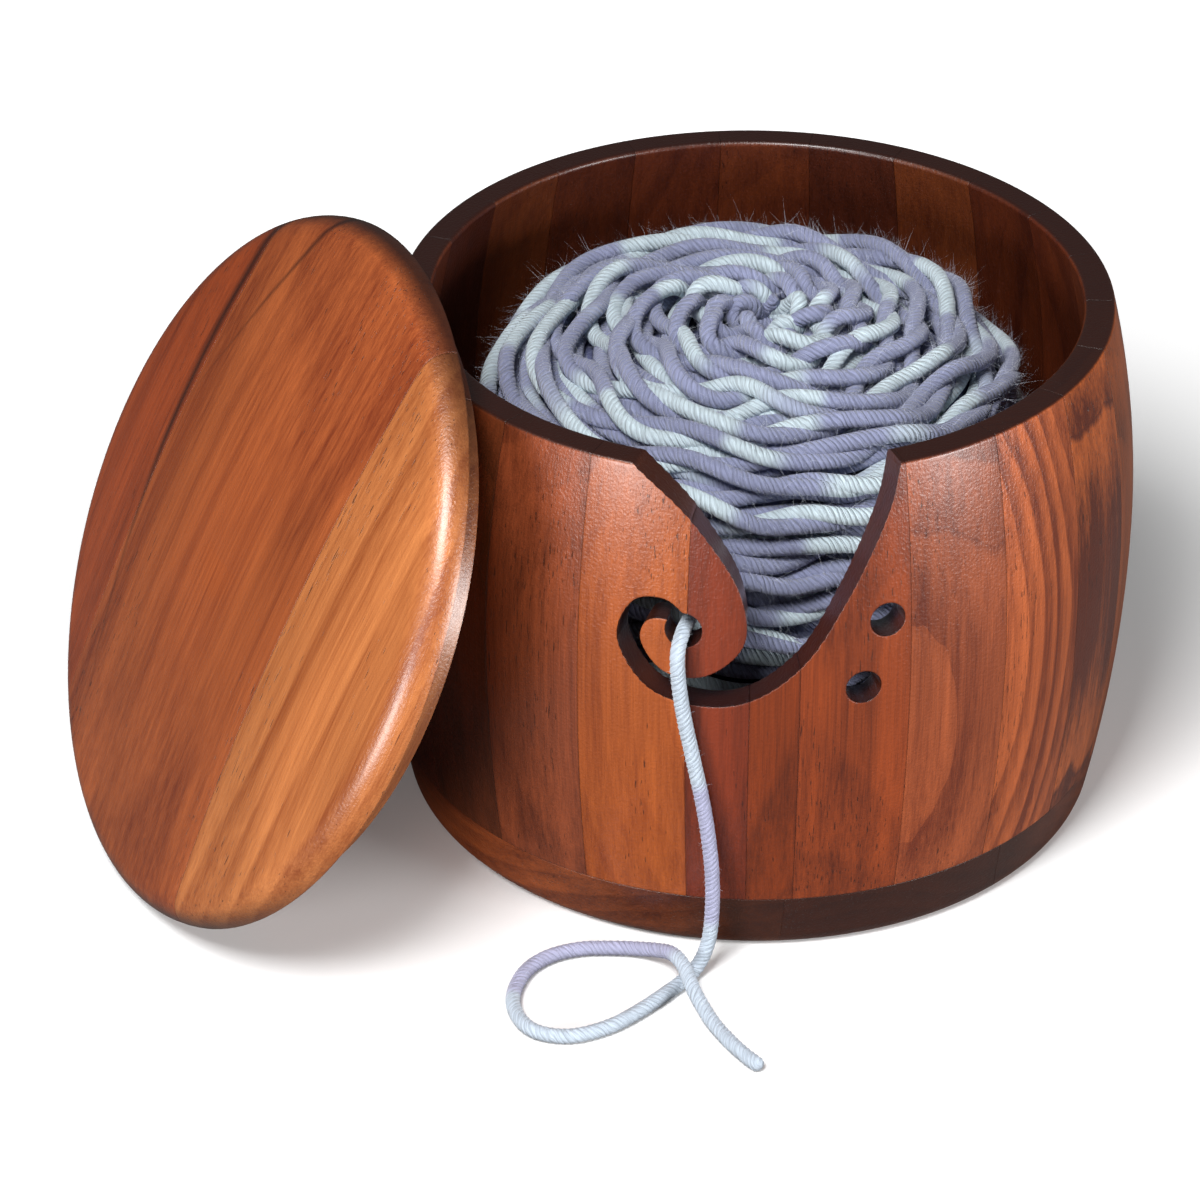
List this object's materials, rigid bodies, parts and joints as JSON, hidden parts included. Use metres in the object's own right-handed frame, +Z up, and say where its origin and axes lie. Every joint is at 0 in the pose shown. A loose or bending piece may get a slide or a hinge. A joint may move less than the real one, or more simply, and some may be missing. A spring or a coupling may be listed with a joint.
{
  "type": "yarn dispenser box",
  "caption": "Round coopered wooden yarn bowl with a swirl slot, drilled tool holes, a loose domed lid that leans on it, and a cake of yarn whose end hangs out of the slot.",
  "frame": {"origin": "on the bowl's axis, at the underside of its base", "axes": "+Z up along the bowl's axis; the slot's mouth faces -Y and the lid leans on the -X side"},
  "size_m": [0.2532, 0.2193, 0.149],
  "materials": {
    "base_wood": "satin lacquer",
    "stave_light": "satin lacquer",
    "stave_dark": "satin lacquer",
    "lid_wood": "satin lacquer",
    "yarn": "soft, plied, space-dyed",
    "yarn_end": "soft, plied"
  },
  "bodies": {
    "bowl": {"base_board_left": "base_wood", "base_board_middle": "base_wood", "base_board_right": "base_wood", "stave_01": "stave_light", "stave_02": "stave_dark", "stave_03": "stave_light", "stave_04": "stave_dark", "stave_05": "stave_light", "stave_06": "stave_dark", "stave_07": "stave_light", "stave_08": "stave_dark", "stave_09": "stave_light", "stave_10": "stave_dark", "stave_11": "stave_light", "stave_12": "stave_dark", "stave_13": "stave_light", "stave_14": "stave_dark", "stave_15": "stave_light", "stave_16": "stave_dark", "stave_17": "stave_light", "stave_18": "stave_dark", "stave_19": "stave_light", "stave_20": "stave_dark", "stave_21": "stave_light", "stave_22": "stave_dark", "stave_23": "stave_light", "yarn_end": "yarn_end"},
    "lid": {"lid_board_left": "lid_wood", "lid_board_middle": "lid_wood", "lid_board_right": "lid_wood"},
    "yarn_cake": {"yarn_cake_core": "yarn", "yarn_cake_turns": "yarn"}
  },
  "joints": [
    {"name": "lid_lift", "type": "slide", "parent": "bowl", "child": "lid", "axis": [0, 0, 1], "range_m": [0, 0.25]},
    {"name": "cake_spin", "type": "hinge", "parent": "bowl", "child": "yarn_cake", "pos_m": [0, 0, 0.06], "axis": [0, 0, 1], "continuous": true}
  ]
}
